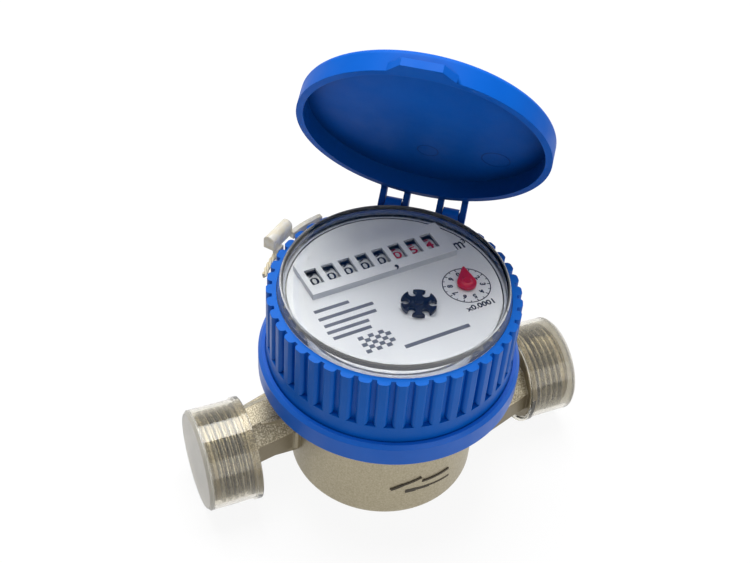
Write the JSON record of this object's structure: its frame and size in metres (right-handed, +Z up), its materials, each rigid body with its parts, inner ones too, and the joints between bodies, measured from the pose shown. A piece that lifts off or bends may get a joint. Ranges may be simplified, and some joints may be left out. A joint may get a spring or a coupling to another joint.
{
  "type": "water meter",
  "caption": "Single-jet water meter: cast brass cup with capped pipe ends, ribbed blue ring, roller counter and small hand under a clear lens, and a hinged lid standing open.",
  "frame": {"origin": "centre of the flat base of the measuring cup, on the axis of the cup", "axes": "+X along the pipe against the flow, towards the inlet; +Z up along the axis of the cup and dial"},
  "size_m": [0.113, 0.0825, 0.1292],
  "materials": {
    "nickelled_brass": "as cast, nickelled",
    "blue_plastic": "moulded, satin gloss",
    "clear_lens": "clear, polished",
    "dial_print": "satin silver white",
    "roller_plastic": "satin",
    "white_plastic": "moulded",
    "black_plastic": "moulded",
    "red_plastic": "moulded",
    "black_rubber": "smooth",
    "steel": "turned or stamped",
    "brass": "turned",
    "magnet": "sintered",
    "cap_plastic": "translucent, natural",
    "seal_plastic": "translucent",
    "seal_wire": "twisted"
  },
  "bodies": {
    "meter": {"meter_body": "nickelled_brass", "inlet_strainer": "white_plastic", "lower_pivot": "steel", "pressure_plate": "brass", "plate_seal": "black_rubber", "clamp_ring": "brass", "base_ring": "blue_plastic", "cover_ring": "blue_plastic", "register_housing": "white_plastic", "lens_gasket": "black_rubber", "lens": "clear_lens", "dial_plate": "dial_print", "train_plate": "steel", "deck_plate": "steel", "plate_pillars": "brass", "counter_frame": "steel", "roller_shaft": "steel", "carry_shaft": "steel", "seal_tag": "seal_plastic", "seal_wire": "seal_wire"},
    "impeller": {"impeller": "white_plastic", "impeller_magnet": "magnet"},
    "follower": {"drive_spindle": "white_plastic", "follower_magnet": "magnet"},
    "star": {"star_arbor": "white_plastic", "star_wheel": "black_plastic"},
    "idler": {"idler_arbor": "white_plastic"},
    "hand": {"pointer_arbor": "white_plastic", "pointer": "red_plastic"},
    "worm": {"worm_arbor": "white_plastic"},
    "number_1": {"roller_1": "roller_plastic"},
    "number_2": {"roller_2": "roller_plastic"},
    "number_3": {"roller_3": "roller_plastic"},
    "number_4": {"roller_4": "roller_plastic"},
    "number_5": {"roller_5": "roller_plastic"},
    "number_6": {"roller_6": "roller_plastic"},
    "number_7": {"roller_7": "roller_plastic"},
    "number_8": {"roller_8": "roller_plastic"},
    "carry_1": {"carry_pinion_1": "white_plastic"},
    "carry_2": {"carry_pinion_2": "white_plastic"},
    "carry_3": {"carry_pinion_3": "white_plastic"},
    "carry_4": {"carry_pinion_4": "white_plastic"},
    "carry_5": {"carry_pinion_5": "white_plastic"},
    "carry_6": {"carry_pinion_6": "white_plastic"},
    "carry_7": {"carry_pinion_7": "white_plastic"},
    "lid": {"lid": "blue_plastic"},
    "inlet_cap": {"inlet_cap": "cap_plastic"},
    "outlet_cap": {"outlet_cap": "cap_plastic"}
  },
  "joints": [
    {"name": "lid_hinge", "type": "hinge", "parent": "meter", "child": "lid", "pos_m": [0.02149, 0.03012, 0.061], "axis": [-0.8141, 0.5807, 0], "range_deg": [-63.5, 46.5]},
    {"name": "impeller_spin", "type": "hinge", "parent": "meter", "child": "impeller", "pos_m": [0, 0, 0.012], "axis": [0, 0, 1], "continuous": true},
    {"name": "follower_spin", "type": "hinge", "parent": "meter", "child": "follower", "pos_m": [0, 0, 0.04], "axis": [0, 0, 1], "continuous": true},
    {"name": "star_spin", "type": "hinge", "parent": "meter", "child": "star", "pos_m": [0.00344, -0.00773, 0.048], "axis": [0, 0, 1], "continuous": true},
    {"name": "idler_spin", "type": "hinge", "parent": "meter", "child": "idler", "pos_m": [0.01064, -0.01217, 0.05], "axis": [0, 0, 1], "continuous": true},
    {"name": "hand_spin", "type": "hinge", "parent": "meter", "child": "hand", "pos_m": [0.01887, -0.00457, 0.052], "axis": [0, 0, 1], "continuous": true},
    {"name": "worm_spin", "type": "hinge", "parent": "meter", "child": "worm", "pos_m": [0.01965, 0.00885, 0.054], "axis": [0, 0, 1], "continuous": true},
    {"name": "number_1_spin", "type": "hinge", "parent": "meter", "child": "number_1", "pos_m": [-0.01918, 0.00987, 0.0577], "axis": [0.9962, 0.0872, 0], "continuous": true},
    {"name": "number_2_spin", "type": "hinge", "parent": "meter", "child": "number_2", "pos_m": [-0.0142, 0.0103, 0.0577], "axis": [0.9962, 0.0872, 0], "continuous": true},
    {"name": "number_3_spin", "type": "hinge", "parent": "meter", "child": "number_3", "pos_m": [-0.00922, 0.01074, 0.0577], "axis": [0.9962, 0.0872, 0], "continuous": true},
    {"name": "number_4_spin", "type": "hinge", "parent": "meter", "child": "number_4", "pos_m": [-0.00424, 0.01117, 0.0577], "axis": [0.9962, 0.0872, 0], "continuous": true},
    {"name": "number_5_spin", "type": "hinge", "parent": "meter", "child": "number_5", "pos_m": [0.00074, 0.01161, 0.0577], "axis": [0.9962, 0.0872, 0], "continuous": true},
    {"name": "number_6_spin", "type": "hinge", "parent": "meter", "child": "number_6", "pos_m": [0.00572, 0.01205, 0.0577], "axis": [0.9962, 0.0872, 0], "continuous": true},
    {"name": "number_7_spin", "type": "hinge", "parent": "meter", "child": "number_7", "pos_m": [0.0107, 0.01248, 0.0577], "axis": [0.9962, 0.0872, 0], "continuous": true},
    {"name": "number_8_spin", "type": "hinge", "parent": "meter", "child": "number_8", "pos_m": [0.01568, 0.01292, 0.0577], "axis": [0.9962, 0.0872, 0], "continuous": true},
    {"name": "carry_1_spin", "type": "hinge", "parent": "meter", "child": "carry_1", "pos_m": [-0.01669, 0.01008, 0.05132], "axis": [0.9962, 0.0872, 0], "continuous": true},
    {"name": "carry_2_spin", "type": "hinge", "parent": "meter", "child": "carry_2", "pos_m": [-0.01171, 0.01052, 0.05132], "axis": [0.9962, 0.0872, 0], "continuous": true},
    {"name": "carry_3_spin", "type": "hinge", "parent": "meter", "child": "carry_3", "pos_m": [-0.00673, 0.01095, 0.05132], "axis": [0.9962, 0.0872, 0], "continuous": true},
    {"name": "carry_4_spin", "type": "hinge", "parent": "meter", "child": "carry_4", "pos_m": [-0.00175, 0.01139, 0.05132], "axis": [0.9962, 0.0872, 0], "continuous": true},
    {"name": "carry_5_spin", "type": "hinge", "parent": "meter", "child": "carry_5", "pos_m": [0.00323, 0.01183, 0.05132], "axis": [0.9962, 0.0872, 0], "continuous": true},
    {"name": "carry_6_spin", "type": "hinge", "parent": "meter", "child": "carry_6", "pos_m": [0.00821, 0.01226, 0.05132], "axis": [0.9962, 0.0872, 0], "continuous": true},
    {"name": "carry_7_spin", "type": "hinge", "parent": "meter", "child": "carry_7", "pos_m": [0.01319, 0.0127, 0.05132], "axis": [0.9962, 0.0872, 0], "continuous": true},
    {"name": "inlet_cap_pull", "type": "slide", "parent": "meter", "child": "inlet_cap", "axis": [1, 0, 0], "range_m": [0, 0.02]},
    {"name": "outlet_cap_pull", "type": "slide", "parent": "meter", "child": "outlet_cap", "axis": [-1, 0, 0], "range_m": [0, 0.02]}
  ],
  "couplings": [
    {"joint": "follower_spin", "follows": "impeller_spin", "ratio": 1},
    {"joint": "star_spin", "follows": "impeller_spin", "ratio": -0.33333},
    {"joint": "idler_spin", "follows": "impeller_spin", "ratio": 0.11111},
    {"joint": "hand_spin", "follows": "impeller_spin", "ratio": -0.027778},
    {"joint": "worm_spin", "follows": "impeller_spin", "ratio": 0.055556},
    {"joint": "number_1_spin", "follows": "impeller_spin", "ratio": -0.00000000027778},
    {"joint": "number_2_spin", "follows": "impeller_spin", "ratio": -0.0000000027778},
    {"joint": "number_3_spin", "follows": "impeller_spin", "ratio": -0.000000027778},
    {"joint": "number_4_spin", "follows": "impeller_spin", "ratio": -0.00000027778},
    {"joint": "number_5_spin", "follows": "impeller_spin", "ratio": -0.0000027778},
    {"joint": "number_6_spin", "follows": "impeller_spin", "ratio": -0.000027778},
    {"joint": "number_7_spin", "follows": "impeller_spin", "ratio": -0.00027778},
    {"joint": "number_8_spin", "follows": "impeller_spin", "ratio": -0.0027778},
    {"joint": "carry_1_spin", "follows": "impeller_spin", "ratio": 0.00000000069444},
    {"joint": "carry_2_spin", "follows": "impeller_spin", "ratio": 0.0000000069444},
    {"joint": "carry_3_spin", "follows": "impeller_spin", "ratio": 0.000000069444},
    {"joint": "carry_4_spin", "follows": "impeller_spin", "ratio": 0.00000069444},
    {"joint": "carry_5_spin", "follows": "impeller_spin", "ratio": 0.0000069444},
    {"joint": "carry_6_spin", "follows": "impeller_spin", "ratio": 0.000069444},
    {"joint": "carry_7_spin", "follows": "impeller_spin", "ratio": 0.00069444}
  ]
}
